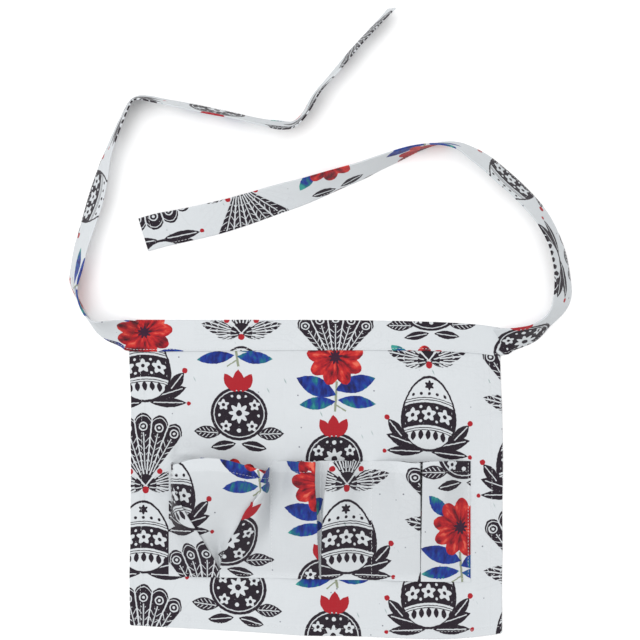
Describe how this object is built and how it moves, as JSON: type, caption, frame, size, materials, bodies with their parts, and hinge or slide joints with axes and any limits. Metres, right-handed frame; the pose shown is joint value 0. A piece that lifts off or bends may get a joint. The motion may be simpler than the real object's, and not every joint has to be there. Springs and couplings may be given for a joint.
{
  "type": "egg gathering apron",
  "caption": "Short cloth apron with a row of pleated pockets for gathered eggs, a folded waistband and two long ties, lying face up.",
  "frame": {"origin": "on the floor, under the middle of the whole with its ties laid out", "axes": "+X across the apron, to the right when it is seen from its face; +Y from the lower hem towards the waistband; +Z out of the face, up from the floor it lies on"},
  "size_m": [0.4904, 0.6168, 0.0391],
  "materials": {
    "apron_panel": "plain-woven printed cotton, matt",
    "pocket_panel": "plain-woven printed cotton, matt",
    "waistband": "plain-woven printed cotton, folded and stitched",
    "tie_left": "plain-woven printed cotton, folded and stitched",
    "tie_right": "plain-woven printed cotton, folded and stitched"
  },
  "bodies": {
    "root": {"apron_panel": "apron_panel", "pocket_panel": "pocket_panel", "waistband": "waistband", "tie_left": "tie_left", "tie_right": "tie_right"}
  },
  "joints": []
}
